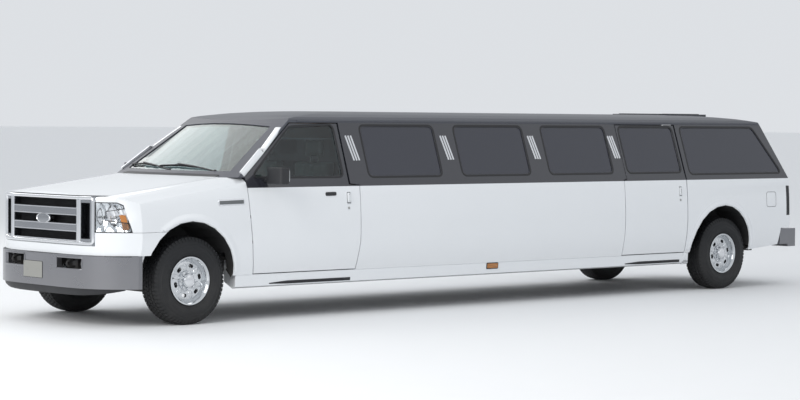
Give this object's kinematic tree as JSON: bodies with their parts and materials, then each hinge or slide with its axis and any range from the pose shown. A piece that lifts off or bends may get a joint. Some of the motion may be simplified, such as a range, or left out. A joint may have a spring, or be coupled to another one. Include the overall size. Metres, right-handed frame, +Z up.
{
  "type": "stretch limousine",
  "caption": "Long stretched limousine with a closed cab, a lounge cabin, opening doors, hood and tailgate, steered front wheels and road wheels that turn.",
  "frame": {"origin": "middle of the vehicle's box, on the ground", "axes": "+X forward, +Y to the driver's left, +Z up"},
  "size_m": [9.8215, 2.4972, 1.969],
  "materials": {
    "tyre": "matte",
    "polished_alloy": "polished",
    "clear_glass": "clear",
    "dark_glass": "tinted",
    "charcoal_paint": "satin",
    "white_paint": "gloss",
    "chrome": "bright",
    "bumper_metal": "satin grey",
    "lamp_glass": "clear",
    "tail_lamp_plastic": "gloss",
    "seat_leather": "soft",
    "dark_plastic": "matte",
    "cast_block": "rough",
    "frame_steel": "satin black"
  },
  "bodies": {
    "body": {"frame_rails": "frame_steel", "cross_members": "frame_steel", "tow_receiver": "frame_steel", "floor_pan": "frame_steel", "firewall": "white_paint", "windshield_frame": "charcoal_paint", "roof": "charcoal_paint", "roof_glass": "dark_glass", "side_panels": "white_paint", "quarter_panels": "white_paint", "front_fenders": "white_paint", "rocker_panels": "white_paint", "wheel_housings": "dark_plastic", "radiator_support": "dark_plastic", "grille": "chrome", "headlights": "lamp_glass", "front_bumper": "bumper_metal", "front_valance": "white_paint", "rear_bumper": "bumper_metal", "tail_lights": "tail_lamp_plastic", "windshield": "clear_glass", "side_windows": "dark_glass", "dashboard": "dark_plastic", "steering_wheel": "dark_plastic", "front_seats": "seat_leather", "partition": "dark_plastic", "lounge_seats": "seat_leather", "engine": "cast_block", "front_suspension": "frame_steel", "rear_axle": "frame_steel", "leaf_springs": "frame_steel", "driveshaft": "frame_steel", "exhaust": "frame_steel", "fuel_tank": "frame_steel"},
    "hood": {"hood": "white_paint"},
    "front_door_left": {"front_door_left": "white_paint", "front_glass_left": "clear_glass", "mirror_left": "dark_plastic"},
    "rear_door_left": {"rear_door_left": "white_paint", "rear_glass_left": "dark_glass"},
    "cargo_door_left": {"cargo_door_left": "white_paint"},
    "knuckle_left": {"knuckle_left": "frame_steel"},
    "front_wheel_left": {"wheel_front_left": "polished_alloy", "tyre_front_left": "tyre"},
    "rear_wheel_left": {"wheel_rear_left": "polished_alloy", "tyre_rear_left": "tyre"},
    "front_door_right": {"front_door_right": "white_paint", "front_glass_right": "clear_glass", "mirror_right": "dark_plastic"},
    "rear_door_right": {"rear_door_right": "white_paint", "rear_glass_right": "dark_glass"},
    "cargo_door_right": {"cargo_door_right": "white_paint"},
    "knuckle_right": {"knuckle_right": "frame_steel"},
    "front_wheel_right": {"wheel_front_right": "polished_alloy", "tyre_front_right": "tyre"},
    "rear_wheel_right": {"wheel_rear_right": "polished_alloy", "tyre_rear_right": "tyre"},
    "liftgate": {"liftgate": "charcoal_paint", "liftgate_glass": "dark_glass"}
  },
  "joints": [
    {"name": "hood_hinge", "type": "hinge", "parent": "body", "child": "hood", "pos_m": [3.5, 0, 1.32772], "axis": [0, -1, 0], "range_deg": [0, 50]},
    {"name": "front_door_left_hinge", "type": "hinge", "parent": "body", "child": "front_door_left", "pos_m": [3.201, 0.998, 0.85], "axis": [0, 0, -1], "range_deg": [0, 65]},
    {"name": "rear_door_left_hinge", "type": "hinge", "parent": "body", "child": "rear_door_left", "pos_m": [-1.966, 0.998, 0.85], "axis": [0, 0, -1], "range_deg": [0, 65]},
    {"name": "cargo_door_left_hinge", "type": "hinge", "parent": "body", "child": "cargo_door_left", "pos_m": [-4.755, 0.859, 0.95], "axis": [0, 0, -1], "range_deg": [0, 90]},
    {"name": "steer_left", "type": "hinge", "parent": "body", "child": "knuckle_left", "pos_m": [3.943, 0.7505, 0.402], "axis": [0, 0, 1], "range_deg": [-33, 33]},
    {"name": "front_wheel_left_spin", "type": "hinge", "parent": "knuckle_left", "child": "front_wheel_left", "pos_m": [3.943, 0.8685, 0.402], "axis": [0, 1, 0], "continuous": true},
    {"name": "rear_wheel_left_spin", "type": "hinge", "parent": "body", "child": "rear_wheel_left", "pos_m": [-3.603, 0.865, 0.402], "axis": [0, 1, 0], "continuous": true},
    {"name": "front_door_right_hinge", "type": "hinge", "parent": "body", "child": "front_door_right", "pos_m": [3.201, -0.998, 0.85], "axis": [0, 0, 1], "range_deg": [0, 65]},
    {"name": "rear_door_right_hinge", "type": "hinge", "parent": "body", "child": "rear_door_right", "pos_m": [-1.966, -0.998, 0.85], "axis": [0, 0, 1], "range_deg": [0, 65]},
    {"name": "cargo_door_right_hinge", "type": "hinge", "parent": "body", "child": "cargo_door_right", "pos_m": [-4.755, -0.859, 0.95], "axis": [0, 0, 1], "range_deg": [0, 90]},
    {"name": "steer_right", "type": "hinge", "parent": "body", "child": "knuckle_right", "pos_m": [3.943, -0.7505, 0.402], "axis": [0, 0, 1], "range_deg": [-33, 33]},
    {"name": "front_wheel_right_spin", "type": "hinge", "parent": "knuckle_right", "child": "front_wheel_right", "pos_m": [3.943, -0.8685, 0.402], "axis": [0, 1, 0], "continuous": true},
    {"name": "rear_wheel_right_spin", "type": "hinge", "parent": "body", "child": "rear_wheel_right", "pos_m": [-3.603, -0.865, 0.402], "axis": [0, 1, 0], "continuous": true},
    {"name": "liftgate_hinge", "type": "hinge", "parent": "body", "child": "liftgate", "pos_m": [-4.47826, 0, 1.80694], "axis": [0, 1, 0], "range_deg": [0, 80]}
  ],
  "couplings": [
    {"joint": "steer_right", "follows": "steer_left", "ratio": 1}
  ]
}
